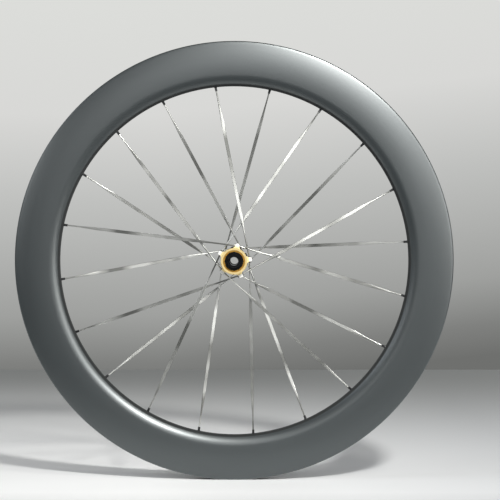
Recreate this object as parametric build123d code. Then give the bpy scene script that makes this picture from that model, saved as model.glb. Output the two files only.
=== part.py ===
from build123d import *
import os
from math import acos, cos, degrees, pi, radians, sin, sqrt, tan

# Front disc-brake bicycle wheel: a deep hollow carbon rim, bladed straight-pull spokes and a
# hub with star flanges on sealed bearings, for a 12 mm through-axle.
# Millimetres. The axle lies along Y through the origin, +Z is up and the brake disc's side,
# called left, is towards -Y. Angles in the wheel's plane turn from +X towards +Z.

# Rim section
bead_seat_diameter = 621.95
tyre_flange_height = 5.8
rim_depth = 64.4
rim_width = 30.0
widest_below_edge = 36.0
tyre_channel_width = 17.0
spoke_flat_width = 5.2
nose_radius = 9.0
nose_turn = 50.0
shoulder_turn = 86.5
side_wall = 1.0
spoke_bed = 2.5
tyre_bed = 1.4
well_depth = 3.6
well_width = 5.0
well_ramp = 2.5
bead_hump = 0.4
hump_slope = 1.0
edge_chamfer = 1.2
lip_chamfer = 0.5
valve_hole_diameter = 6.5
valve_gap = 14

# Lacing
lugs_per_flange = 5
spoke_crossings = 2
first_lug_angle = 6.2
left_flange_y = -23.5
right_flange_y = 34.0
left_spoke_offset = 22.3
right_spoke_offset = 16.75
spoke_stagger = 2.6

# Spokes
blade_width = 4.5
blade_thickness = 0.95
blade_bevel = 0.3
hub_shank_diameter = 2.2
thread_diameter = 2.0
head_diameter = 4.2
head_height = 2.0
hub_shank_length = 38.0
hub_taper_length = 35.0
rim_taper_length = 44.0
rim_shank_length = 20.3
thread_past_seat = 1.0

# Nipples
nipple_diameter = 4.0
nipple_flats = 3.3
nipple_head_flats = 5.5
nipple_head_height = 1.8
nipple_length = 7.6
nipple_round_length = 3.0
nipple_seat_depth = 0.5

# Hub shell
lug_length = 11.0
lug_half_width = 3.0
lug_cover = 3.2
lug_chamfer = 0.8
lug_root_fillet = 6.0
lug_flank_share = 0.9
head_seat_depth = 0.3
left_barrel_diameter = 37.2
right_barrel_diameter = 29.4
waist_diameter = 25.6
left_cone_length = 9.0
right_cone_length = 6.0
shell_bore_diameter = 22.0
shell_left_end = -41.0
shell_right_end = 42.0
disc_shoulder_y = -35.6
spline_root_diameter = 32.2
spline_tip_diameter = 34.2
spline_teeth = 24
spline_runout = 0.5

# Lock ring of the brake disc
lock_ring_diameter = 38.0
lock_ring_bore = 26.2
lock_ring_thickness = 2.4
lock_thread_diameter = 30.0
lock_thread_length = 6.0
lock_ring_step = 0.4
lock_groove_inner = 29.8
lock_groove_outer = 31.4
lock_groove_depth = 0.7
lock_ring_chamfer = 0.5
tool_notches = 12
tool_notch_width = 2.0
tool_notch_depth = 0.6

# Sealed bearings
bearing_bore = 17.0
bearing_diameter = 26.0
bearing_width = 5.0
left_bearing_y = -30.5
right_bearing_y = 38.5
ball_diameter = 2.78
ball_count = 14
inner_land_diameter = 19.9
outer_land_diameter = 23.1
seal_thickness = 0.4
seal_recess = 0.1
cage_wall = 0.35
cage_radial_gap = 0.25
cage_finger_width = 1.3
cage_finger_reach = 0.9

# Axle and end caps
hub_width = 100.0
through_axle_bore = 12.1
axle_tube_bore = 14.4
axle_shoulder_diameter = 19.2
cap_nose_diameter = 18.8
cap_collar_diameter = 25.2
cap_collar_thickness = 2.4
cap_spigot_length = 9.0
cap_chamfer = 0.6
left_collar_proud = 0.4
right_collar_gap = 0.6

# Clearances
seat_clearance = 0.02
thread_clearance = 0.05
hole_clearance = 0.1
nipple_hole_clearance = 0.15
head_seat_clearance = 0.15
ball_clearance = 0.05
seal_lip_clearance = 0.1

# Radii and angles that follow from the sizes above
bead_seat_radius = bead_seat_diameter / 2
outer_radius = bead_seat_radius + tyre_flange_height
inner_radius = outer_radius - rim_depth
nipple_seat_radius = inner_radius + spoke_bed - nipple_seat_depth
lug_pitch = 360 / lugs_per_flange
nipple_pitch = lug_pitch / 4
lacing_angle = lug_pitch * (1 + 2 * spoke_crossings) / 4
valve_angle = first_lug_angle + (valve_gap + 0.5) * nipple_pitch
ball_pitch_radius = (inner_land_diameter + outer_land_diameter) / 4


def on_wheel(radius, angle, y):
    """The point at a radius and an angle in the wheel's plane, y along the axle."""
    return Vector(radius * cos(radians(angle)), y, radius * sin(radians(angle)))


def turned(*edges):
    """A solid turned about the axle from a closed outline of radius against y."""
    return revolve(make_face([piece.edges() for piece in edges]), Axis.Y)


def turned_polygon(*corners):
    """The same from straight lines through corners."""
    return turned(Polyline(*corners, close=True))


def collar(inner, outer, y0, y1):
    """A plain ring between two diameters and two places along the axle."""
    return turned_polygon((inner / 2, y0), (outer / 2, y0), (outer / 2, y1), (inner / 2, y1))


def spoke_lines():
    """Every spoke as its side, its line from hub seat to nipple seat and its length."""
    lines = []
    for side, flange_y, offset, quarter in (
        ("left", left_flange_y, left_spoke_offset, 0),
        ("right", right_flange_y, right_spoke_offset, 1),
    ):
        lean = lug_lean(offset)
        seat = -offset * tan(radians(lean)) - lug_half_width + head_seat_depth
        reach = sqrt(nipple_seat_radius**2 - offset**2)
        for lug in range(lugs_per_flange):
            for hand in (1, -1):
                lug_angle = first_lug_angle + lug * lug_pitch + quarter * nipple_pitch
                foot_angle = lug_angle - hand * lean
                across = on_wheel(1, foot_angle, 0)
                along = on_wheel(1, foot_angle - hand * 90, 0)
                hub_y = Vector(0, flange_y + hand * spoke_stagger, 0)
                start = across * offset + along * seat + hub_y
                end = across * offset + along * reach
                plane = Plane(origin=start, x_dir=across, z_dir=end - start)
                lines.append((side, plane, (end - start).length))
    return lines


def lug_lean(offset):
    """How far a lug's middle stands past the foot of the square from the axle to its spoke."""
    return lacing_angle - degrees(acos(offset / nipple_seat_radius))


def along_spoke(plane, shape, place=0.0):
    """A shape made along +Z, set on a spoke's line at a distance from its hub seat."""
    return plane * (Pos(0, 0, place) * shape)


def rod(diameter, start, end):
    """A round bar along +Z between two places."""
    return Pos(0, 0, start) * extrude(Circle(diameter / 2), end - start)


# Rim: one hollow moulding. From the flat that the nipples pass through, its flank is three
# tangent arcs, a tight nose, a shoulder and a long bowed side that draws in again towards the
# tyre. The cavity follows them by short straight runs, one wall inside.
def rim_section():
    half_flat = spoke_flat_width / 2
    nose = radians(nose_turn)
    shoulder = radians(shoulder_turn)
    side_tangent = tan((pi / 2 - shoulder) / 2)
    rise = outer_radius - widest_below_edge - inner_radius - nose_radius * (1 - cos(nose))
    spare = rim_width / 2 - half_flat - nose_radius * sin(nose) - rise * side_tangent
    turn_gain = sin(shoulder) - sin(nose) - (cos(nose) - cos(shoulder)) * side_tangent
    shoulder_radius = spare / turn_gain
    side_radius = (rise - shoulder_radius * (cos(nose) - cos(shoulder))) / cos(shoulder)

    def moved(centre, distance, turn):
        return (centre[0] - distance * cos(turn), centre[1] + distance * sin(turn))

    nose_centre = (inner_radius + nose_radius, half_flat)
    shoulder_centre = moved(nose_centre, nose_radius - shoulder_radius, nose)
    side_centre = moved(shoulder_centre, shoulder_radius - side_radius, shoulder)

    def arc(centre, radius, start, end):
        middle = (start + end) / 2
        return ThreePointArc(*(moved(centre, radius, turn) for turn in (start, middle, end)))

    def side_turn(radius, inset):
        return acos((side_centre[0] - radius) / (side_radius - inset))

    edge_turn = side_turn(outer_radius - edge_chamfer, 0)
    edge_y = moved(side_centre, side_radius, edge_turn)[1]
    bed_radius = inner_radius + spoke_bed
    bed_turn = acos((nose_radius - spoke_bed) / (nose_radius - side_wall))
    cavity_turn = (nose + shoulder) / 2
    ceiling = bead_seat_radius - tyre_bed
    ceiling_turn = side_turn(ceiling, side_wall)
    channel_half = tyre_channel_width / 2
    well_radius = bead_seat_radius - well_depth
    hump_y = well_width / 2 + well_ramp
    half = make_face(
        [
            Line((inner_radius, 0), (inner_radius, half_flat)),
            arc(nose_centre, nose_radius, 0, nose),
            arc(shoulder_centre, shoulder_radius, nose, shoulder),
            arc(side_centre, side_radius, shoulder, edge_turn),
            Polyline(
                (outer_radius - edge_chamfer, edge_y),
                (outer_radius, edge_y - edge_chamfer),
                (outer_radius, channel_half + lip_chamfer),
                (outer_radius - lip_chamfer, channel_half),
                (bead_seat_radius, channel_half),
                (bead_seat_radius, hump_y + hump_slope),
                (bead_seat_radius + bead_hump, hump_y),
                (well_radius, well_width / 2),
                (well_radius, 0),
                (well_radius - tyre_bed, 0),
                (well_radius - tyre_bed, well_width / 2),
                (ceiling, hump_y),
                moved(side_centre, side_radius - side_wall, ceiling_turn),
                moved(side_centre, side_radius - side_wall, (ceiling_turn + shoulder) / 2),
                moved(side_centre, side_radius - side_wall, shoulder),
                moved(shoulder_centre, shoulder_radius - side_wall, cavity_turn),
                moved(nose_centre, nose_radius - side_wall, bed_turn),
                (bed_radius, 0),
                (inner_radius, 0),
            ).edges(),
        ]
    )
    return half + mirror(half, about=Plane.XZ)


def make_rim(lines):
    rim = revolve(rim_section(), Axis.Y)
    hole = nipple_diameter + 2 * nipple_hole_clearance
    seat = nipple_head_flats / cos(radians(30)) + 2 * nipple_hole_clearance
    drill = rod(hole, -nipple_length, spoke_bed) + rod(seat, 0, 2 * spoke_bed)
    cuts = [along_spoke(plane, drill, length) for side, plane, length in lines]
    valve = Plane(origin=(0, 0, 0), z_dir=on_wheel(1, valve_angle, 0))
    cuts.append(valve * rod(valve_hole_diameter, inner_radius - spoke_bed, outer_radius))
    return rim - cuts


# Spoke: a forged head, a round shank through the lug, a blade pressed flat in the wheel's plane
# with bevelled edges, and a round threaded end inside the nipple.
def bevelled(wide, thick, bevel):
    corners = [(wide / 2, thick / 2 - bevel), (wide / 2 - bevel, thick / 2)]
    corners += [(-x, y) for x, y in reversed(corners)]
    corners += [(-x, -y) for x, y in corners]
    return make_face(Polyline(*corners, close=True))


def make_spoke(plane, length):
    round_bevel = 1 - sqrt(0.5)
    blade_start = hub_shank_length + hub_taper_length
    blade_end = length - rim_shank_length - rim_taper_length
    stations = (
        (hub_shank_diameter, hub_shank_diameter, hub_shank_diameter * round_bevel, hub_shank_length),
        (blade_width, blade_thickness, blade_bevel, blade_start),
        (blade_width, blade_thickness, blade_bevel, blade_end),
        (thread_diameter, thread_diameter, thread_diameter * round_bevel, length - rim_shank_length),
    )
    sections = [Pos(0, 0, z) * bevelled(wide, thick, bevel) for wide, thick, bevel, z in stations]
    spoke = loft(sections, ruled=True) + rod(hub_shank_diameter, 0, hub_shank_length)
    spoke += rod(head_diameter, -head_height, 0)
    spoke += rod(thread_diameter, length - rim_shank_length, length + thread_past_seat)
    return plane * spoke


# Nipple: a six-sided head inside the rim, a round neck in the hole and four flats for the key.
def make_nipple():
    head = extrude(RegularPolygon(nipple_head_flats / 2, 6, major_radius=False), nipple_head_height)
    neck = rod(nipple_diameter, -nipple_round_length, 0)
    flats = extrude(Rectangle(nipple_flats, nipple_flats), nipple_length)
    key = rod(nipple_diameter, -nipple_length, -nipple_round_length) & (Pos(0, 0, -nipple_length) * flats)
    thread = rod(thread_diameter + 2 * thread_clearance, -nipple_length, nipple_head_height)
    return head + neck + key - thread


# Hub shell: one machined forging. Each star flange has five lugs whose flanks stand square to
# the two spokes that each lug carries.
def star_flange(offset, barrel_diameter):
    lean = radians(lug_lean(offset))
    middle = offset / cos(lean)
    tip = middle + lug_cover

    def half_width(radius):
        return lug_half_width / cos(lean) - (radius - middle) * tan(lean)

    barrel = barrel_diameter / 2
    inside = barrel / 2
    flank_end = tip - lug_chamfer
    lug_corners = [
        (inside, -half_width(inside)),
        (flank_end, -half_width(flank_end)),
        (tip, -half_width(tip) + lug_chamfer),
        (tip, half_width(tip) - lug_chamfer),
        (flank_end, half_width(flank_end)),
        (inside, half_width(inside)),
    ]
    lug = make_face(Polyline(*lug_corners, close=True))
    star = Circle(barrel)
    star += [Rot(0, 0, turn * lug_pitch) * lug for turn in range(lugs_per_flange)]
    near = lug_chamfer / 2
    roots = [v for v in star.vertices() if abs(Vector(v).length - barrel) < near]
    # A root fillet touches the barrel and a flank, and the flank ends at the lug's chamfer.
    root_half = half_width(barrel)
    flank_room = (flank_end**2 - barrel**2 + root_half**2) / (2 * (barrel - root_half))
    return fillet(roots, min(lug_root_fillet, lug_flank_share * flank_room))


def on_axle(sketch, y0, y1):
    """A sketch of the wheel's plane pulled along the axle from y0 to y1, y1 the greater."""
    return extrude(Plane.XZ.offset(-y1) * sketch, y1 - y0)


def make_shell(lines):
    left_stop = left_bearing_y + bearing_width / 2
    right_stop = right_bearing_y - bearing_width / 2
    thread_end = shell_left_end + lock_thread_length + lock_ring_step
    left_inner = left_flange_y + lug_length / 2
    right_inner = right_flange_y - lug_length / 2
    body = turned_polygon(
        (left_barrel_diameter / 2, left_inner),
        (left_barrel_diameter / 2, disc_shoulder_y),
        (spline_root_diameter / 2, disc_shoulder_y),
        (spline_root_diameter / 2, shell_left_end),
        (lock_thread_diameter / 2, shell_left_end),
        (lock_thread_diameter / 2, thread_end),
        (bearing_diameter / 2, thread_end),
        (bearing_diameter / 2, left_stop),
        (shell_bore_diameter / 2, left_stop),
        (shell_bore_diameter / 2, right_stop),
        (bearing_diameter / 2, right_stop),
        (bearing_diameter / 2, shell_right_end),
        (right_barrel_diameter / 2, shell_right_end),
        (right_barrel_diameter / 2, right_inner),
        (waist_diameter / 2, right_inner - right_cone_length),
        (waist_diameter / 2, left_inner + left_cone_length),
    )
    flanges = []
    for quarter, flange_y, offset, barrel in (
        (0, left_flange_y, left_spoke_offset, left_barrel_diameter),
        (1, right_flange_y, right_spoke_offset, right_barrel_diameter),
    ):
        star = Rot(0, 0, first_lug_angle + quarter * nipple_pitch) * star_flange(offset, barrel)
        core = Circle(bearing_diameter / 2)
        flanges.append(on_axle(star - core, flange_y - lug_length / 2, flange_y + lug_length / 2))
    tooth_width = pi * spline_root_diameter / spline_teeth / 2
    tooth_foot = (lock_thread_diameter + spline_root_diameter) / 4
    tooth_tip = spline_tip_diameter / 2
    tooth = Pos((tooth_foot + tooth_tip) / 2, 0) * Rectangle(tooth_tip - tooth_foot, tooth_width)
    teeth = Sketch() + [Rot(0, 0, turn * 360 / spline_teeth) * tooth for turn in range(spline_teeth)]
    spline = on_axle(teeth, shell_left_end + spline_runout, disc_shoulder_y)
    shell = body + flanges + spline
    hole = hub_shank_diameter + 2 * hole_clearance
    seat = head_diameter + 2 * head_seat_clearance
    drill = rod(hole, -head_height, 4 * lug_half_width) + rod(seat, -2 * head_height, 0)
    return shell - [along_spoke(plane, drill) for side, plane, length in lines]


# Lock ring: a turned and anodised ring that screws into the splined end, with notches for its
# key inside the bore and two lands on its face.
def make_lock_ring():
    thread = lock_thread_diameter - 2 * thread_clearance
    front = shell_left_end - lock_ring_thickness
    ring = turned_polygon(
        (lock_ring_bore / 2, shell_left_end + lock_thread_length),
        (thread / 2, shell_left_end + lock_thread_length),
        (thread / 2, shell_left_end),
        (lock_ring_diameter / 2, shell_left_end),
        (lock_ring_diameter / 2, front + lock_ring_chamfer),
        (lock_ring_diameter / 2 - lock_ring_chamfer, front),
        (lock_groove_outer / 2, front),
        (lock_groove_outer / 2, front + lock_groove_depth),
        (lock_groove_inner / 2, front + lock_groove_depth),
        (lock_groove_inner / 2, front + lock_ring_step),
        (lock_ring_bore / 2 + lock_ring_chamfer, front + lock_ring_step),
        (lock_ring_bore / 2, front + lock_ring_step + lock_ring_chamfer),
    )
    notch = Pos(lock_ring_bore / 2, 0) * Rectangle(2 * tool_notch_depth, tool_notch_width)
    notches = Sketch() + [Rot(0, 0, turn * 360 / tool_notches) * notch for turn in range(tool_notches)]
    return ring - on_axle(notches, front, shell_left_end + lock_thread_length)


# Bearing: two grooved rings with a crown cage of balls between them and a seal in each side.
def make_bearing(y):
    half = bearing_width / 2
    groove = ball_diameter / 2 + ball_clearance
    bore = bearing_bore / 2
    outside = bearing_diameter / 2 - seat_clearance

    def grooved(land, back, bottom):
        reach = sqrt(groove**2 - (land - ball_pitch_radius) ** 2)
        groove_arc = ThreePointArc((land, y - reach), (bottom, y), (land, y + reach))
        land_sides = [Line((land, y + sign * reach), (land, y + sign * half)) for sign in (1, -1)]
        faces = [Line((land, y + sign * half), (back, y + sign * half)) for sign in (1, -1)]
        return turned(groove_arc, *land_sides, *faces, Line((back, y - half), (back, y + half)))

    def seal(hand):
        lip = inner_land_diameter + 2 * seal_lip_clearance
        rim_of_seal = outer_land_diameter - 2 * seat_clearance
        middle = y + hand * (half - seal_recess - seal_thickness / 2)
        return collar(lip, rim_of_seal, middle - seal_thickness / 2, middle + seal_thickness / 2)

    outboard = 1 if y > 0 else -1
    return {
        "inner_ring": grooved(inner_land_diameter / 2, bore, ball_pitch_radius - groove),
        "outer_ring": grooved(outer_land_diameter / 2, outside, ball_pitch_radius + groove),
        "outboard_seal": seal(outboard),
        "inboard_seal": seal(-outboard),
    }


ball_steps = [turn * 360 / ball_count for turn in range(ball_count)]


def make_balls(y):
    ball = Sphere(ball_diameter / 2)
    return [Pos(on_wheel(ball_pitch_radius, step, y)) * ball for step in ball_steps]


def make_cage(y):
    low = y + ball_diameter / 2 + 2 * ball_clearance
    inner = inner_land_diameter / 2 + cage_radial_gap
    outer = outer_land_diameter / 2 - cage_radial_gap
    finger = Pos((outer + inner) / 2, 0) * Rectangle(outer - inner, cage_finger_width)
    fingers = Sketch() + [Rot(0, 0, step + 180 / ball_count) * finger for step in ball_steps]
    fingers &= Circle(outer) - Circle(inner)
    return collar(2 * inner, 2 * outer, low, low + cage_wall) + on_axle(fingers, y - cage_finger_reach, low)


# Axle tube: turned alloy, with a shoulder that keeps the two inner rings apart.
def make_axle_tube():
    bore = axle_tube_bore / 2
    seat = bearing_bore / 2 - seat_clearance
    shoulder = axle_shoulder_diameter / 2
    left_end = left_bearing_y - bearing_width / 2
    right_end = right_bearing_y + bearing_width / 2
    return turned_polygon(
        (bore, left_end),
        (seat, left_end),
        (seat, left_end + bearing_width),
        (shoulder, left_end + bearing_width),
        (shoulder, right_end - bearing_width),
        (seat, right_end - bearing_width),
        (seat, right_end),
        (bore, right_end),
    )


# End cap: turned alloy, pushed into the axle tube. Its collar shields the bearing and its nose
# meets the fork. The sizes run outwards from the bearing, on the side that hand gives.
def make_end_cap(hand, bearing_face, collar_start):
    bore = through_axle_bore / 2
    nose = cap_nose_diameter / 2
    collar_radius = cap_collar_diameter / 2
    spigot = axle_tube_bore / 2 - seat_clearance
    end = hub_width / 2
    corners = (
        (bore, bearing_face - cap_spigot_length),
        (spigot, bearing_face - cap_spigot_length),
        (spigot, bearing_face),
        (nose, bearing_face),
        (nose, collar_start),
        (collar_radius, collar_start),
        (collar_radius, collar_start + cap_collar_thickness - cap_chamfer),
        (collar_radius - cap_chamfer, collar_start + cap_collar_thickness),
        (nose, collar_start + cap_collar_thickness),
        (nose, end - cap_chamfer),
        (nose - cap_chamfer, end),
        (bore + cap_chamfer, end),
        (bore, end - cap_chamfer),
    )
    return turned_polygon(*((radius, hand * y) for radius, y in corners))


lines = spoke_lines()
nodes = {"rim": make_rim(lines), "hub_shell": make_shell(lines), "disc_lock_ring": make_lock_ring()}
counts = {"left": 0, "right": 0}
for side, plane, length in lines:
    counts[side] += 1
    nodes[f"spoke_{side}_{counts[side]:02d}"] = make_spoke(plane, length)
nipple = make_nipple()
nipples = [along_spoke(plane, nipple, length) for side, plane, length in lines]
nodes["spoke_nipples"] = Compound(children=nipples)
nodes["axle_tube"] = make_axle_tube()
left_collar = lock_ring_thickness + left_collar_proud - cap_collar_thickness - shell_left_end
right_collar = shell_right_end + right_collar_gap
nodes["end_cap_left"] = make_end_cap(-1, bearing_width / 2 - left_bearing_y, left_collar)
nodes["end_cap_right"] = make_end_cap(1, bearing_width / 2 + right_bearing_y, right_collar)
bearings = {"left": left_bearing_y, "right": right_bearing_y}
for side, y in bearings.items():
    for piece, shape in make_bearing(y).items():
        nodes[f"bearing_{side}_{piece}"] = shape
nodes["bearing_balls"] = Compound(children=[ball for y in bearings.values() for ball in make_balls(y)])
nodes["bearing_cages"] = Compound(children=[make_cage(y) for y in bearings.values()])

os.makedirs("parts", exist_ok=True)
for name, shape in nodes.items():
    export_step(shape, f"parts/{name}.step")
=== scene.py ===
from math import acos, cos, degrees, pi, radians, sin, sqrt, tan

import bmesh
import bpy
from mathutils import Matrix, Vector


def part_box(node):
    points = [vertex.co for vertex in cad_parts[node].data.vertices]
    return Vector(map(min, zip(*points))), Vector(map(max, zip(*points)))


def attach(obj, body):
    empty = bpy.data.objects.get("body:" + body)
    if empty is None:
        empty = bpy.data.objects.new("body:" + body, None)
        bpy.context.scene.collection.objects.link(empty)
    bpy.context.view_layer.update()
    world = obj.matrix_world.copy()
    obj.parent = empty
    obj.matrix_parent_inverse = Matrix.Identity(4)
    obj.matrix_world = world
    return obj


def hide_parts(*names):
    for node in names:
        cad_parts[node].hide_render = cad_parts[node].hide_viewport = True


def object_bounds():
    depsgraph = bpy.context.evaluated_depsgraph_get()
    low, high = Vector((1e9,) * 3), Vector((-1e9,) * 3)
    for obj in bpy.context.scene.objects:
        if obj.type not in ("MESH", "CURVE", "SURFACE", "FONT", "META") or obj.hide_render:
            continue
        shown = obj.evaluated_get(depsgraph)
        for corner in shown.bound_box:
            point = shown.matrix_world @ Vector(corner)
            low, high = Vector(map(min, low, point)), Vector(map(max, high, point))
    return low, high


# A bare front disc-brake bicycle wheel, standing on its rim and seen from the brake disc's side.
# Sizes are in millimetres, each mesh is scaled to metres, and the axle lies along Y.
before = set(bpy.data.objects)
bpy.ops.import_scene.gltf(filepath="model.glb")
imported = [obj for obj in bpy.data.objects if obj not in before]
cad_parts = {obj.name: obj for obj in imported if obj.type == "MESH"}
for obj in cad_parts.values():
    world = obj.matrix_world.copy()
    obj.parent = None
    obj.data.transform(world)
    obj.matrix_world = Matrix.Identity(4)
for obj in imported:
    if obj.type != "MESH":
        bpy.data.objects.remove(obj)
cad_low, cad_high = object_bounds()


# Hub shell: one aluminium forging, turned and milled, then black anodised. The face of the left star
# is dyed gold, and the faces of its lugs' tips are milled bare afterwards, so that they shine.
millimetre = 0.001
crease_angle = radians(28)
joined_within = 0.002 * millimetre


def linear(code):
    """An sRGB hex colour as linear red, green, blue and alpha."""
    parts = [int(code[i:i + 2], 16) / 255 for i in (1, 3, 5)]
    return tuple(p / 12.92 if p <= 0.04045 else ((p + 0.055) / 1.055) ** 2.4 for p in parts) + (1.0,)


def add(tree, kind, inputs=None, **settings):
    """Adds a node with its settings, and sets or links its inputs."""
    node = tree.nodes.new(kind)
    for name, value in settings.items():
        setattr(node, name, value)
    for name, value in (inputs or {}).items():
        if isinstance(value, bpy.types.NodeSocket):
            tree.links.new(value, node.inputs[name])
        else:
            node.inputs[name].default_value = value
    return node


def new_material(name):
    """A material with its node tree, its shader and the place on the object in metres."""
    material = bpy.data.materials.new(name)
    material.use_nodes = True
    tree = material.node_tree
    place = add(tree, "ShaderNodeTexCoord").outputs["Object"]
    return material, tree, tree.nodes["Principled BSDF"], place


def finish_mesh(bm, name, material):
    """Makes a bmesh in metres a smooth-shaded object whose sharp edges stay sharp."""
    for edge in bm.edges:
        edge.smooth = edge.calc_face_angle(0) < crease_angle
    for face in bm.faces:
        face.smooth = True
    mesh = bpy.data.meshes.new(name)
    bm.to_mesh(mesh)
    bm.free()
    mesh.materials.append(material)
    piece = bpy.data.objects.new(name, mesh)
    bpy.context.scene.collection.objects.link(piece)
    return piece


def merged_copy(node):
    """The solid of a node as one joined mesh."""
    bm = bmesh.new()
    bm.from_mesh(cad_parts[node].data)
    bmesh.ops.remove_doubles(bm, verts=bm.verts, dist=joined_within)
    return bm


# Black anodising is a dyed, fine-etched oxide over metal: dull black with a soft grey gleam. The
# bare lugs show milled aluminium with the cutter's fine marks. A wave texture of scale 1 has a fixed
# count of bands to the metre, so its scale is the count that is wanted over that one.
bare_from = 21.2 * millimetre
gold_to = -28.9 * millimetre
gold_from = 18.4 * millimetre
bare_edge = 0.25 * millimetre
etch_grain = 0.5 * millimetre
cutter_step = 0.22 * millimetre
bands_per_metre = 20 / (2 * pi)
hub_finish, tree, shader, place = new_material("anodised_hub_alloy")
axial = add(tree, "ShaderNodeSeparateXYZ", {"Vector": place})
radial = add(tree, "ShaderNodeVectorMath", {0: place, 1: (1, 0, 1)}, operation="MULTIPLY")
radius = add(tree, "ShaderNodeVectorMath", {0: radial.outputs[0]}, operation="LENGTH")
on_left = add(tree, "ShaderNodeMath", {0: axial.outputs["Y"], 1: gold_to}, operation="LESS_THAN")
tip = add(
    tree,
    "ShaderNodeMapRange",
    {"Value": radius.outputs["Value"], "From Min": bare_from, "From Max": bare_from + bare_edge},
)
bare = add(tree, "ShaderNodeMath", {0: tip.outputs[0], 1: on_left.outputs[0]}, operation="MULTIPLY")
etch = add(tree, "ShaderNodeTexNoise", {"Vector": place, "Scale": 1 / etch_grain})
black = add(
    tree,
    "ShaderNodeMix",
    {"Factor": etch.outputs[0], "A": linear("#0f1012"), "B": linear("#1d1e21")},
    data_type="RGBA",
)
marks = add(
    tree,
    "ShaderNodeTexWave",
    {"Vector": place, "Scale": 1 / cutter_step / bands_per_metre, "Distortion": 2.0},
)
milled = add(
    tree,
    "ShaderNodeMix",
    {"Factor": marks.outputs[1], "A": linear("#e9e9e7"), "B": linear("#fbfbf9")},
    data_type="RGBA",
)
on_star = add(tree, "ShaderNodeMath", {0: radius.outputs["Value"], 1: gold_from}, operation="GREATER_THAN")
gilt = add(tree, "ShaderNodeMath", {0: on_left.outputs[0], 1: on_star.outputs[0]}, operation="MULTIPLY")
dyed = add(
    tree,
    "ShaderNodeMix",
    {"Factor": gilt.outputs[0], "A": black.outputs["Result"], "B": linear("#f8e6b0")},
    data_type="RGBA",
)
hub_colour = add(
    tree,
    "ShaderNodeMix",
    {"Factor": bare.outputs[0], "A": dyed.outputs["Result"], "B": milled.outputs["Result"]},
    data_type="RGBA",
)
hub_gloss = add(
    tree,
    "ShaderNodeMapRange",
    {"Value": bare.outputs[0], "To Min": 0.42, "To Max": 0.5},
)
metal = add(tree, "ShaderNodeMath", {0: bare.outputs[0], 1: gilt.outputs[0]}, operation="MAXIMUM")
metal_share = add(tree, "ShaderNodeMapRange", {"Value": metal.outputs[0], "To Max": 0.3})
tree.links.new(hub_colour.outputs["Result"], shader.inputs["Base Color"])
tree.links.new(hub_gloss.outputs[0], shader.inputs["Roughness"])
tree.links.new(metal_share.outputs[0], shader.inputs["Metallic"])

hub = finish_mesh(merged_copy("hub_shell"), "hub_shell_forging", hub_finish)
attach(hub, "wheel")
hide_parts("hub_shell")


# Bearings: two sealed cartridges pressed into the shell, with ground steel rings, hard chrome
# steel balls in a moulded nylon cage, and thin rubber shields that turn with the outer ring.
mottle_size = 0.12 * millimetre


def bearing_finish(name, dark, light, metallic, roughness):
    """A finish whose fine mottle varies the colour, as grinding or moulding does."""
    material, tree, shader, place = new_material(name)
    mottle = add(
        tree,
        "ShaderNodeTexNoise",
        {"Vector": place, "Scale": 1 / mottle_size, "Detail": 3.0},
    )
    colour = add(
        tree,
        "ShaderNodeMix",
        {"Factor": mottle.outputs[0], "A": linear(dark), "B": linear(light)},
        data_type="RGBA",
    )
    tree.links.new(colour.outputs["Result"], shader.inputs["Base Color"])
    shader.inputs["Metallic"].default_value = metallic
    shader.inputs["Roughness"].default_value = roughness
    return material


ground_steel = bearing_finish("ground_bearing_steel", "#9a9b9c", "#b9babb", 1.0, 0.22)
ball_steel = bearing_finish("polished_ball_steel", "#c4c5c6", "#d8d9da", 1.0, 0.08)
shield_rubber = bearing_finish("moulded_shield_rubber", "#141415", "#222223", 0.0, 0.7)
cage_nylon = bearing_finish("moulded_cage_nylon", "#a89a7c", "#c3b695", 0.0, 0.5)
bearing_finishes = {"bearing_balls": ball_steel, "bearing_cages": cage_nylon}
for side in ("left", "right"):
    for ring in ("inner_ring", "outer_ring"):
        bearing_finishes[f"bearing_{side}_{ring}"] = ground_steel
    for shield in ("outboard_seal", "inboard_seal"):
        bearing_finishes[f"bearing_{side}_{shield}"] = shield_rubber
for node, finish in bearing_finishes.items():
    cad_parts[node].data.materials.clear()
    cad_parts[node].data.materials.append(finish)


# Axle tube: aluminium bar turned to a shoulder between the bearings and left bright. The lathe's
# feed leaves fine rings along it, drawn several times as coarse as real ones so that they show.
feed_pitch = 1.57 * millimetre
axle_finish, tree, shader, place = new_material("turned_axle_alloy")
feed = add(
    tree,
    "ShaderNodeTexWave",
    {"Vector": place, "Scale": 1 / feed_pitch / bands_per_metre, "Distortion": 1.0},
    bands_direction="Y",
)
turned = add(
    tree,
    "ShaderNodeMix",
    {"Factor": feed.outputs[1], "A": linear("#a3a5a7"), "B": linear("#c6c8ca")},
    data_type="RGBA",
)
tree.links.new(turned.outputs["Result"], shader.inputs["Base Color"])
shader.inputs["Metallic"].default_value = 1.0
shader.inputs["Roughness"].default_value = 0.3
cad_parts["axle_tube"].data.materials.clear()
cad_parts["axle_tube"].data.materials.append(axle_finish)


# End caps: turned aluminium, black anodised, pushed into the axle tube. The turned faces keep
# rings round the axle that catch the light as a faint sheen.
face_ring_pitch = 0.6 * millimetre
cap_finish, tree, shader, place = new_material("anodised_cap_alloy")
radial = add(tree, "ShaderNodeVectorMath", {0: place, 1: (1, 0, 1)}, operation="MULTIPLY")
radius = add(tree, "ShaderNodeVectorMath", {0: radial.outputs[0]}, operation="LENGTH")
along_radius = add(tree, "ShaderNodeCombineXYZ", {"X": radius.outputs["Value"]})
rings = add(
    tree,
    "ShaderNodeTexNoise",
    {"Vector": along_radius.outputs[0], "Scale": 1 / face_ring_pitch},
)
cap_colour = add(
    tree,
    "ShaderNodeMix",
    {"Factor": rings.outputs[0], "A": linear("#040405"), "B": linear("#0b0c0e")},
    data_type="RGBA",
)
cap_gloss = add(tree, "ShaderNodeMapRange", {"Value": rings.outputs[0], "To Min": 0.2, "To Max": 0.3})
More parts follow.
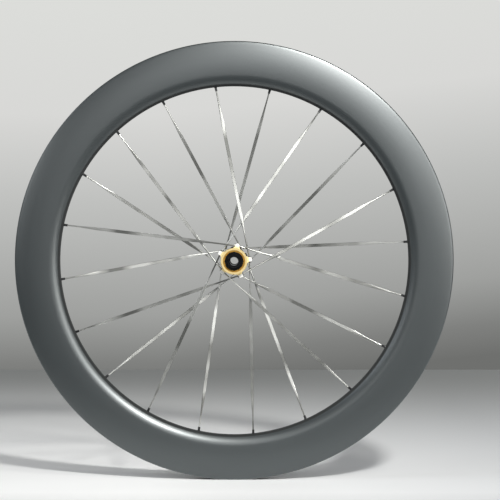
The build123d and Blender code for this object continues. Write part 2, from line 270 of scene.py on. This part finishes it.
tree.links.new(cap_colour.outputs["Result"], shader.inputs["Base Color"])
tree.links.new(cap_gloss.outputs[0], shader.inputs["Roughness"])
shader.inputs["Specular IOR Level"].default_value = 0.25
for side in ("left", "right"):
    cap = finish_mesh(merged_copy(f"end_cap_{side}"), f"end_cap_{side}_turning", cap_finish)
    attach(cap, "axle")
    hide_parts(f"end_cap_{side}")


# Lock ring: turned aluminium, gold anodised, screwed into the end of the shell. It would hold the
# brake disc on its spline. The dyed oxide is clear, so the turned metal glints through the gold. Inside
# 15.4 to 16.2 mm the gold is painted darker and browner, as painted shade in the step round its bore.
gold_ring_pitch = 0.8 * millimetre
painted_shade_fades_from = 15.4 * millimetre
painted_shade_fades_to = 16.2 * millimetre
gold_finish, tree, shader, place = new_material("gold_anodised_alloy")
radial = add(tree, "ShaderNodeVectorMath", {0: place, 1: (1, 0, 1)}, operation="MULTIPLY")
radius = add(tree, "ShaderNodeVectorMath", {0: radial.outputs[0]}, operation="LENGTH")
along_radius = add(tree, "ShaderNodeCombineXYZ", {"X": radius.outputs["Value"]})
rings = add(
    tree,
    "ShaderNodeTexNoise",
    {"Vector": along_radius.outputs[0], "Scale": 1 / gold_ring_pitch},
)
out_of_painted_shade = add(
    tree,
    "ShaderNodeMapRange",
    {"Value": radius.outputs["Value"], "From Min": painted_shade_fades_from, "From Max": painted_shade_fades_to},
)
# A darker, browner copy of the gold for the inner band: painted shade.
painted_shade_gold = add(
    tree,
    "ShaderNodeMix",
    {"Factor": rings.outputs[0], "A": linear("#8a5f1c"), "B": linear("#d3a348")},
    data_type="RGBA",
)
# The gold outside the band of painted shade.
light = add(
    tree,
    "ShaderNodeMix",
    {"Factor": rings.outputs[0], "A": linear("#e6c67c"), "B": linear("#f8e6b0")},
    data_type="RGBA",
)
gold = add(
    tree,
    "ShaderNodeMix",
    {"Factor": out_of_painted_shade.outputs[0], "A": painted_shade_gold.outputs["Result"], "B": light.outputs["Result"]},
    data_type="RGBA",
)
gold_gloss = add(tree, "ShaderNodeMapRange", {"Value": rings.outputs[0], "To Min": 0.3, "To Max": 0.45})
tree.links.new(gold.outputs["Result"], shader.inputs["Base Color"])
tree.links.new(gold_gloss.outputs[0], shader.inputs["Roughness"])
shader.inputs["Metallic"].default_value = 0.6
lock_ring = finish_mesh(merged_copy("disc_lock_ring"), "disc_lock_ring_turning", gold_finish)
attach(lock_ring, "wheel")
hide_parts("disc_lock_ring")


# Spokes: stainless steel wire with a forged head that sits in a lug. The middle of each is pressed
# into a flat blade, and the two ends stay round for the lug and the nipple.
spokes_per_side = 10
nipple_seat_radius = 254.375
first_lug_angle = 6.2
lug_pitch = 72.0
square = 90.0
spoke_stagger = 2.6
lug_half_width = 3.0
head_seat_depth = 0.3
# Each star's place along the axle, how far its spokes pass from the axle, and its turn in degrees.
flanges = {"left": (-23.5, 22.3, 0.0), "right": (34.0, 16.75, 18.0)}
blade_half_width = 2.25
blade_half_thickness = 0.475
edge_round = 2.0
shank_radius = 1.1
thread_radius = 1.0
head_radius = 2.1
head_height = 2.0
head_round = 0.4
hub_shank_length = 38.0
hub_taper_length = 35.0
rim_taper_length = 44.0
rim_shank_length = 20.3
thread_past_seat = 1.0
taper_steps = 8
blade_steps = 12
section_points = 24


def on_wheel(radius, angle, y):
    """The point at a radius and an angle in the wheel's plane, y along the axle."""
    return Vector((radius * cos(radians(angle)), y, radius * sin(radians(angle))))


def spoke_lines():
    """Every spoke's node, the matrix that sets its own Z on its line, and its length."""
    for side, (flange_y, offset, turn) in flanges.items():
        lean = square - degrees(acos(offset / nipple_seat_radius))
        seat = head_seat_depth - lug_half_width - offset * tan(radians(lean))
        reach = sqrt(nipple_seat_radius**2 - offset**2)
        for number in range(spokes_per_side):
            hand = 1 if number % 2 == 0 else -1
            foot_angle = first_lug_angle + turn + number // 2 * lug_pitch - hand * lean
            across = on_wheel(1, foot_angle, 0)
            along = on_wheel(1, foot_angle - hand * square, 0)
            start = across * offset + along * seat + Vector((0, flange_y + hand * spoke_stagger, 0))
            line = across * offset + along * reach - start
            ahead = line.normalized()
            matrix = Matrix((across, ahead.cross(across), ahead)).transposed().to_4x4()
            matrix.translation = start
            yield f"spoke_{side}_{number + 1:02d}", matrix, line.length


def taper(start, length, first, last):
    """The stations between two sections of a spoke, eased into both of them."""
    for step in range(1, taper_steps):
        share = step / taper_steps
        ease = share * share * (3 - 2 * share)
        wide, thick = (a + (b - a) * ease for a, b in zip(first, last))
        yield start + length * share, wide, thick


def spoke_stations(length):
    """The places along a spoke with the half width and half thickness there."""
    shank = (shank_radius, shank_radius)
    blade = (blade_half_width, blade_half_thickness)
    thread = (thread_radius, thread_radius)
    yield -head_height, head_radius - head_round, head_radius - head_round
    yield head_round - head_height, head_radius, head_radius
    yield -head_round, head_radius, head_radius
    yield 0.0, *shank
    yield hub_shank_length, *shank
    yield from taper(hub_shank_length, hub_taper_length, shank, blade)
    blade_start = hub_shank_length + hub_taper_length
    blade_end = length - rim_shank_length - rim_taper_length
    for step in range(blade_steps + 1):
        yield blade_start + (blade_end - blade_start) * step / blade_steps, *blade
    yield from taper(blade_end, rim_taper_length, blade, thread)
    yield length - rim_shank_length, *thread
    yield length + thread_past_seat, *thread


def bladed_spoke(matrix, length, offset_along):
    """One spoke as a closed mesh, with the place along it kept for its painted reflection."""
    bm = bmesh.new()
    along = bm.verts.layers.float.new("along")
    last_ring = None
    stations = list(spoke_stations(length))
    for place, wide, thick in stations:
        flat = min(1.0, (wide / thick - 1) / (blade_half_width / blade_half_thickness - 1))
        swell = 1 + max(0.0, flat) * (edge_round - 1)
        ring = bmesh.ops.create_circle(
            bm,
            cap_ends=place in (stations[0][0], stations[-1][0]),
            segments=section_points,
            radius=1.0,
            matrix=Matrix.Translation((0, 0, place)) @ Matrix.Diagonal((wide, thick * swell, 1, 1)),
        )["verts"]
        for vert in ring:
            vert.co.y = max(-thick, min(thick, vert.co.y))
            vert[along] = place * millimetre + offset_along
        edges = list(dict.fromkeys(e for v in ring for e in v.link_edges))
        if last_ring:
            bmesh.ops.bridge_loops(bm, edges=last_ring + edges)
        last_ring = edges
    bmesh.ops.recalc_face_normals(bm, faces=bm.faces)
    bmesh.ops.transform(bm, matrix=Matrix.Scale(millimetre, 4) @ matrix, verts=bm.verts)
    return bm


# Cold-pressed stainless steel is bright grey and smooth. Its colour is painted darker and lighter in
# long stretches along each blade, as painted reflection of the lamps and the room.
painted_reflection_stretch = 70 * millimetre
steel_finish, tree, shader, _ = new_material("pressed_stainless_steel")
along = add(tree, "ShaderNodeAttribute", attribute_name="along")
painted_reflection_noise = add(
    tree,
    "ShaderNodeTexNoise",
    {"W": along.outputs["Fac"], "Scale": 1 / painted_reflection_stretch, "Detail": 2.0},
    noise_dimensions="1D",
)
# The mask that paints each stretch of blade bright or dark: painted reflection.
clear = add(tree, "ShaderNodeMapRange", {"Value": painted_reflection_noise.outputs[0], "From Min": 0.36, "From Max": 0.64})
# Dark and bright copies of the steel for the painted reflection.
steel = add(
    tree,
    "ShaderNodeMix",
    {"Factor": clear.outputs[0], "A": linear("#7c7d7a"), "B": linear("#dcddd9")},
    data_type="RGBA",
)
steel_gloss = add(tree, "ShaderNodeMapRange", {"Value": clear.outputs[0], "To Min": 0.42, "To Max": 0.36})
tree.links.new(steel.outputs["Result"], shader.inputs["Base Color"])
tree.links.new(steel_gloss.outputs[0], shader.inputs["Roughness"])
shader.inputs["Metallic"].default_value = 1.0

lines = list(spoke_lines())
for number, (node, matrix, length) in enumerate(lines):
    spoke = finish_mesh(bladed_spoke(matrix, length, number), f"{node}_blade", steel_finish)
    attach(spoke, "wheel")
    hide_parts(node)


# Nipples: turned aluminium nuts, black anodised, that pull each spoke tight from inside the rim.
# Only the square for the key shows, with its edges rubbed a little by the key.
nipple_grain = 0.4 * millimetre
nipple_finish, tree, shader, place = new_material("anodised_nipple_alloy")
rub = add(tree, "ShaderNodeTexNoise", {"Vector": place, "Scale": 1 / nipple_grain})
nipple_colour = add(
    tree,
    "ShaderNodeMix",
    {"Factor": rub.outputs[0], "A": linear("#0c0d0e"), "B": linear("#232426")},
    data_type="RGBA",
)
tree.links.new(nipple_colour.outputs["Result"], shader.inputs["Base Color"])
shader.inputs["Roughness"].default_value = 0.38
nipples = finish_mesh(merged_copy("spoke_nipples"), "spoke_nipple_set", nipple_finish)
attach(nipples, "wheel")
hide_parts("spoke_nipples")


# Rim: one hollow carbon moulding, laid up in a mould and coated satin. Its flank runs from the flat
# that the nipples pass through by a tight nose, a shoulder and a long bowed side to the tyre channel.
outer_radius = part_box("rim")[1].z / millimetre
rim_half_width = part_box("rim")[1].y / millimetre
rim_depth = 64.4
widest_below_edge = 36.0
spoke_half_flat = 2.6
nose_radius = 9.0
nose_turn = radians(50)
shoulder_turn = radians(86.5)
side_wall = 1.0
spoke_bed = 2.5
tyre_bed = 1.4
flange_height = 5.8
channel_half = 8.5
well_depth = 3.6
well_half = 2.5
well_ramp = 2.5
bead_hump = 0.4
hump_slope = 1.0
edge_chamfer = 1.2
lip_chamfer = 0.5
edge_soften = 0.25
edge_segments = 2
nose_steps = 12
shoulder_steps = 16
side_steps = 14
rim_steps = 360
welded_within = 0.001
nipple_hole_radius = 2.15
nipple_hole_back = 7.6
nipple_hole_on = 3.0
nipple_hole_segments = 24
valve_angle = 267.2
valve_hole_radius = 3.25
valve_hole_segments = 32

inner_radius = outer_radius - rim_depth
side_tangent = tan((pi / 2 - shoulder_turn) / 2)
rise = rim_depth - widest_below_edge - nose_radius * (1 - cos(nose_turn))
spare = rim_half_width - spoke_half_flat - nose_radius * sin(nose_turn) - rise * side_tangent
turn_cosines = cos(nose_turn) - cos(shoulder_turn)
shoulder_radius = spare / (sin(shoulder_turn) - sin(nose_turn) - turn_cosines * side_tangent)
side_radius = (rise - shoulder_radius * turn_cosines) / cos(shoulder_turn)


def moved(centre, distance, turn):
    """A point of the section at a distance and a turn from a centre, with y towards the left flank."""
    return Vector((0, centre.y - distance * sin(turn), centre.z - distance * cos(turn)))


nose_centre = Vector((0, -spoke_half_flat, inner_radius + nose_radius))
shoulder_centre = moved(nose_centre, nose_radius - shoulder_radius, nose_turn)
side_centre = moved(shoulder_centre, shoulder_radius - side_radius, shoulder_turn)
edge_turn = acos((side_centre.z - outer_radius + edge_chamfer) / side_radius)
bead_seat = outer_radius - flange_height
well_radius = bead_seat - well_depth
ceiling = bead_seat - tyre_bed
ceiling_turn = acos((side_centre.z - ceiling) / (side_radius - side_wall))
bed_turn = acos((nose_radius - spoke_bed) / (nose_radius - side_wall))


def swept(bm, corner, centre, turn, steps):
    """Carries the section on from a vertex by an arc round a centre and gives its last vertex."""
    arc = bmesh.ops.spin(bm, geom=[corner], cent=centre, axis=(1, 0, 0), angle=-turn, steps=steps)
    return next(v for v in arc["geom_last"] if isinstance(v, bmesh.types.BMVert))


def drawn(bm, corner, *points):
    """Carries the section on by straight lines and gives its last vertex."""
    for point in points:
        end = bm.verts.new(point)
        bm.edges.new((corner, end))
        corner = end
    return corner


def turned_shell(bm):
    """Mirrors a half section and spins it round the axle into a closed shell facing outwards."""
    bmesh.ops.mirror(bm, geom=bm.verts[:] + bm.edges[:], axis="Y", merge_dist=welded_within)
    section = bm.verts[:] + bm.edges[:]
    bmesh.ops.spin(bm, geom=section, axis=(0, 1, 0), angle=2 * pi, steps=rim_steps, use_merge=True)
    bmesh.ops.remove_doubles(bm, verts=bm.verts, dist=welded_within)
    bmesh.ops.recalc_face_normals(bm, faces=bm.faces)


skin = bmesh.new()
corner = drawn(skin, skin.verts.new((0, 0, inner_radius)), (0, -spoke_half_flat, inner_radius))
corner = swept(skin, corner, nose_centre, nose_turn, nose_steps)
corner = swept(skin, corner, shoulder_centre, shoulder_turn - nose_turn, shoulder_steps)
corner = swept(skin, corner, side_centre, edge_turn - shoulder_turn, side_steps)
hump_y = well_half + well_ramp
drawn(
    skin,
    corner,
    (0, corner.co.y + edge_chamfer, outer_radius),
    (0, -channel_half - lip_chamfer, outer_radius),
    (0, -channel_half, outer_radius - lip_chamfer),
    (0, -channel_half, bead_seat),
    (0, -hump_y - hump_slope, bead_seat),
    (0, -hump_y, bead_seat + bead_hump),
    (0, -well_half, well_radius),
    (0, 0, well_radius),
)
turned_shell(skin)
bmesh.ops.bevel(
    skin,
    geom=[e for e in skin.edges if e.calc_face_angle(0) > crease_angle],
    offset=edge_soften,
    affect="EDGES",
    segments=edge_segments,
    profile=0.5,
    material=-1,
)

cavity = bmesh.new()
drawn(
    cavity,
    cavity.verts.new((0, 0, inner_radius + spoke_bed)),
    moved(nose_centre, nose_radius - side_wall, bed_turn),
    moved(shoulder_centre, shoulder_radius - side_wall, (nose_turn + shoulder_turn) / 2),
    moved(side_centre, side_radius - side_wall, shoulder_turn),
    moved(side_centre, side_radius - side_wall, (ceiling_turn + shoulder_turn) / 2),
    moved(side_centre, side_radius - side_wall, ceiling_turn),
    (0, -hump_y, ceiling),
    (0, -well_half, well_radius - tyre_bed),
    (0, 0, well_radius - tyre_bed),
)
turned_shell(cavity)
bmesh.ops.reverse_faces(cavity, faces=cavity.faces)
cavity_mesh = bpy.data.meshes.new("rim_cavity")
cavity.to_mesh(cavity_mesh)
cavity.free()
skin.from_mesh(cavity_mesh)
bpy.data.meshes.remove(cavity_mesh)

drills = bmesh.new()
nipple_hole_depth = nipple_hole_back + nipple_hole_on
for node, matrix, length in lines:
    middle = length + nipple_hole_on - nipple_hole_depth / 2
    bmesh.ops.create_cone(
        drills,
        cap_ends=True,
        segments=nipple_hole_segments,
        radius1=nipple_hole_radius,
        radius2=nipple_hole_radius,
        depth=nipple_hole_depth,
        matrix=matrix @ Matrix.Translation((0, 0, middle)),
    )
bmesh.ops.create_cone(
    drills,
    cap_ends=True,
    segments=valve_hole_segments,
    radius1=valve_hole_radius,
    radius2=valve_hole_radius,
    depth=rim_depth,
    matrix=Matrix.Translation(on_wheel(inner_radius + rim_depth / 2 - spoke_bed, valve_angle, 0))
    @ on_wheel(1, valve_angle, 0).to_track_quat("Z", "Y").to_matrix().to_4x4(),
)
for bm in (skin, drills):
    bmesh.ops.scale(bm, vec=(millimetre,) * 3, verts=bm.verts)

# Satin-coated carbon: black fibre under a dull clear coat. The hoops of fibre run round the rim and
# show as faint long streaks, drawn three times as wide as real tows so that they show at all. A thin
# band on the nose by the flat that the nipples pass through is painted near black, matt and without
# coat, as painted shade of the rim's inner edge.
painted_shade_band_from = (inner_radius + 2.0) * millimetre
painted_shade_band_to = (inner_radius + 4.2) * millimetre
streak_width = 3.0 * millimetre
streak_length = 70.0 * millimetre
coat_grain = 1.2 * millimetre
coat_grain_height = 0.05 * millimetre
carbon_finish, tree, shader, place = new_material("satin_coated_carbon")
radial = add(tree, "ShaderNodeVectorMath", {0: place, 1: (1, 0, 1)}, operation="MULTIPLY")
radius = add(tree, "ShaderNodeVectorMath", {0: radial.outputs[0]}, operation="LENGTH")
around = add(tree, "ShaderNodeVectorMath", {0: radial.outputs[0]}, operation="NORMALIZE")
loops = inner_radius * millimetre / streak_length
coarse = add(tree, "ShaderNodeVectorMath", {0: around.outputs[0], 1: (loops,) * 3}, operation="MULTIPLY")
fine = add(
    tree,
    "ShaderNodeMath",
    {0: radius.outputs["Value"], 1: 1 / streak_width},
    operation="MULTIPLY",
)
streaks = add(
    tree,
    "ShaderNodeTexNoise",
    {"Vector": coarse.outputs[0], "W": fine.outputs[0], "Scale": 1.0, "Detail": 3.0},
    noise_dimensions="4D",
)
carbon = add(
    tree,
    "ShaderNodeMix",
    {"Factor": streaks.outputs[0], "A": linear("#14191b"), "B": linear("#1e2325")},
    data_type="RGBA",
)
# Zero inside the band of painted shade on the nose, one where the rim is coated.
coat_past_painted_shade = add(
    tree,
    "ShaderNodeMapRange",
    {"Value": radius.outputs["Value"], "From Min": painted_shade_band_from, "From Max": painted_shade_band_to},
    interpolation_type="SMOOTHSTEP",
)
# Near black inside the band: painted shade of the inner edge.
rim_colour = add(
    tree,
    "ShaderNodeMix",
    {"Factor": coat_past_painted_shade.outputs[0], "A": linear("#060707"), "B": carbon.outputs["Result"]},
    data_type="RGBA",
)
coat = add(tree, "ShaderNodeTexNoise", {"Vector": place, "Scale": 1 / coat_grain})
carbon_gloss = add(tree, "ShaderNodeMapRange", {"Value": streaks.outputs[0], "To Min": 0.34, "To Max": 0.4})
rim_gloss = add(
    tree,
    "ShaderNodeMapRange",
    {"Value": coat_past_painted_shade.outputs[0], "To Min": 0.95, "To Max": carbon_gloss.outputs[0]},
)
coat_bump = add(
    tree,
    "ShaderNodeBump",
    {"Height": coat.outputs[0], "Strength": 0.06, "Distance": coat_grain_height},
)
tree.links.new(rim_colour.outputs["Result"], shader.inputs["Base Color"])
tree.links.new(rim_gloss.outputs[0], shader.inputs["Roughness"])
tree.links.new(coat_bump.outputs[0], shader.inputs["Normal"])
shader.inputs["IOR"].default_value = 1.75
shader.inputs["Specular Tint"].default_value = linear("#f8feff")
tree.links.new(coat_past_painted_shade.outputs[0], shader.inputs["Coat Weight"])
shader.inputs["Coat IOR"].default_value = 1.6
shader.inputs["Coat Roughness"].default_value = 0.36
shader.inputs["Coat Tint"].default_value = linear("#f8feff")

blank = finish_mesh(skin, "rim_blank", carbon_finish)
drill_set = finish_mesh(drills, "rim_drills", carbon_finish)
cut = blank.modifiers.new("nipple_and_valve_holes", "BOOLEAN")
cut.object = drill_set
cut.operation = "DIFFERENCE"
cut.solver = "EXACT"
drilled = bpy.data.meshes.new_from_object(blank.evaluated_get(bpy.context.evaluated_depsgraph_get()))
moulding = bmesh.new()
moulding.from_mesh(drilled)
bpy.data.objects.remove(blank)
bpy.data.objects.remove(drill_set)
rim = finish_mesh(moulding, "rim_moulding", carbon_finish)
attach(rim, "wheel")
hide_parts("rim")


# Studio floor: a pale matt sheet under and behind the wheel. Its colour is painted greyer to the right
# and to the back, where it meets the room's tone, as painted shade of the lamps' falloff. In front it
# ends softly on the grey floor that the lamps stand on.
floor_front = -6.0
floor_back = 1.88
floor_half = 6.0
shade_left = -0.1
shade_right = 0.45
painted_falloff_from = 0.2
painted_falloff_to = 1.75
front_from = -0.13
front_to = -0.6
floor_finish, tree, shader, place = new_material("matt_floor_sheet")
axial = add(tree, "ShaderNodeSeparateXYZ", {"Vector": place})
across = add(
    tree,
    "ShaderNodeMapRange",
    {"Value": axial.outputs["X"], "From Min": shade_left, "From Max": shade_right},
)
depth = add(
    tree,
    "ShaderNodeMapRange",
    {"Value": axial.outputs["Y"], "From Min": painted_falloff_from, "From Max": painted_falloff_to},
    interpolation_type="SMOOTHSTEP",
)
# Painted shade: the sheet is painted greyer to the right.
near = add(
    tree,
    "ShaderNodeMix",
    {"Factor": across.outputs[0], "A": linear("#f8f9f9"), "B": linear("#d4d6d8")},
    data_type="RGBA",
)
# Painted shade: the sheet is painted greyer towards the back, where the light falls off.
pale = add(
    tree,
    "ShaderNodeMix",
    {"Factor": depth.outputs[0], "A": near.outputs["Result"], "B": linear("#a4a6a5")},
    data_type="RGBA",
)
before = add(
    tree,
    "ShaderNodeMapRange",
    {"Value": axial.outputs["Y"], "From Min": front_from, "From Max": front_to},
)
sheet_colour = add(
    tree,
    "ShaderNodeMix",
    {"Factor": before.outputs[0], "A": pale.outputs["Result"], "B": linear("#5e6061")},
    data_type="RGBA",
)
tree.links.new(sheet_colour.outputs["Result"], shader.inputs["Base Color"])
shader.inputs["Roughness"].default_value = 0.85
shader.inputs["Specular IOR Level"].default_value = 0.2
sheet = bmesh.new()
bmesh.ops.create_grid(sheet, x_segments=1, y_segments=1, size=1.0)
middle = (floor_front + floor_back) / 2
bmesh.ops.scale(sheet, vec=(floor_half, (floor_back - floor_front) / 2, 1), verts=sheet.verts)
bmesh.ops.translate(sheet, vec=(0, middle, cad_low.z), verts=sheet.verts)
floor = finish_mesh(sheet, "studio_floor", floor_finish)


# Studio light: one small key high in front throws the shadow, and soft lamps to the right and low in
# front draw the rim's form, with a wide fill from the left and two weak ones behind. The room is grey,
# with a pale wall behind the wheel, painted darker towards its foot and to the right as painted shade.
def softbox(name, azimuth, elevation, distance, size, level, colour):
    """An area lamp aimed at the wheel, turned to the right of the camera's side and raised.

    Its level is the light that it gives a sheet at the wheel that faces it.
    """
    data = bpy.data.lights.new(name, "AREA")
    data.shape = "DISK"
    data.size = size
    data.energy = level * pi * distance**2
    data.color = linear(colour)[:3]
    lamp = bpy.data.objects.new(name, data)
    turn, rise = radians(azimuth), radians(elevation)
    away = Vector((sin(turn) * cos(rise), -cos(turn) * cos(rise), sin(rise)))
    lamp.location = away * distance
    lamp.rotation_euler = away.to_track_quat("Z", "Y").to_euler()
    bpy.context.scene.collection.objects.link(lamp)


softbox("front_key", 22, 35.5, 2.4, 0.26, 2.9, "#fffefb")
softbox("right_lamp", 36, 50, 3.0, 0.4, 0.4, "#fffdf8")
softbox("front_softbox", 13, 20, 3.0, 1.1, 0.35, "#ffffff")
softbox("low_front_softbox", -7, 10, 3.0, 1.1, 0.1, "#ffffff")
softbox("low_right_softbox", 44, 10, 2.8, 1.4, 0.94, "#fffdfa")
softbox("low_left_lamp", -41, 14, 1.6, 0.4, 0.19, "#ffffff")
softbox("left_fill", -72, 30, 3.0, 1.6, 0.5, "#f4f8ff")
softbox("back_right_fill", 140, 18, 3.0, 1.6, 0.3, "#ffffff")
softbox("back_left_fill", 224, 18, 3.0, 1.6, 0.25, "#ffffff")

painted_shade_lean = 0.12
seam_bend = 0.006
wall_foot = -0.097
wall_top = 0.118
wall_side = 0.25
wall_middle = 0.8
ceiling_from = 0.5
ceiling_to = 0.16
room = bpy.data.worlds.new("studio_room")
room.use_nodes = True
bpy.context.scene.world = room
tree = room.node_tree
background = tree.nodes["Background"]
direction = add(tree, "ShaderNodeTexCoord").outputs["Generated"]
towards = add(tree, "ShaderNodeSeparateXYZ", {"Vector": direction})
slope = add(
    tree,
    "ShaderNodeMath",
    {0: towards.outputs["X"], 1: painted_shade_lean, 2: seam_bend},
    operation="MULTIPLY_ADD",
)
aside = add(tree, "ShaderNodeMath", {0: slope.outputs[0], 1: 0.0}, operation="MAXIMUM")
leaning = add(tree, "ShaderNodeMath", {0: towards.outputs["Z"], 1: aside.outputs[0]}, operation="SUBTRACT")
lift = add(
    tree,
    "ShaderNodeMapRange",
    {"Value": leaning.outputs[0], "From Min": wall_foot, "From Max": wall_top},
)
# The wall's tones are painted shade: dark at its foot, pale above, and darker to the right by the lean.
wall = add(tree, "ShaderNodeValToRGB", {0: lift.outputs[0]})
tones = wall.color_ramp.elements
tones[0].color = linear("#6f706e")
tones[1].color = linear("#dcddda")
for position, tone in ((0.08, "#80817f"), (0.2, "#9fa09e"), (0.49, "#bfc0be"), (0.72, "#d8d8d6")):
    tones.new(position).color = linear(tone)
behind = add(
    tree,
    "ShaderNodeMapRange",
    {"Value": towards.outputs["Y"], "From Min": wall_side, "From Max": wall_middle},
    interpolation_type="SMOOTHSTEP",
)
under = add(
    tree,
    "ShaderNodeMapRange",
    {"Value": towards.outputs["Z"], "From Min": ceiling_from, "From Max": ceiling_to},
    interpolation_type="SMOOTHSTEP",
)
on_wall = add(tree, "ShaderNodeMath", {0: behind.outputs[0], 1: under.outputs[0]}, operation="MULTIPLY")
room_colour = add(
    tree,
    "ShaderNodeMix",
    {"Factor": on_wall.outputs[0], "A": linear("#5f6061"), "B": wall.outputs[0]},
    data_type="RGBA",
)
tree.links.new(room_colour.outputs["Result"], background.inputs["Color"])
background.inputs["Strength"].default_value = 1.0
bpy.context.scene.view_settings.view_transform = "Standard"


# Camera: square on to the wheel from its brake disc's side, a little above its axle and far away,
# with the wheel left of and below the picture's middle.
image_pixels = 500
wheel_pixel_x = 234.3
wheel_pixel_y = 260.6
pixels_per_metre = 690.0
camera_distance = 2.6
camera_elevation = radians(1.0)
aim = Vector(
    (
        (image_pixels / 2 - wheel_pixel_x) / pixels_per_metre,
        0,
        (wheel_pixel_y - image_pixels / 2) / pixels_per_metre,
    )
)
back = Vector((0, -cos(camera_elevation), sin(camera_elevation)))
camera_data = bpy.data.cameras.new("photo_camera")
camera_data.sensor_width = 36.0
camera_data.lens = camera_data.sensor_width * camera_distance * pixels_per_metre / image_pixels
camera = bpy.data.objects.new("photo_camera", camera_data)
camera.location = aim + back * camera_distance
camera.rotation_euler = back.to_track_quat("Z", "Y").to_euler()
bpy.context.scene.collection.objects.link(camera)
bpy.context.scene.camera = camera
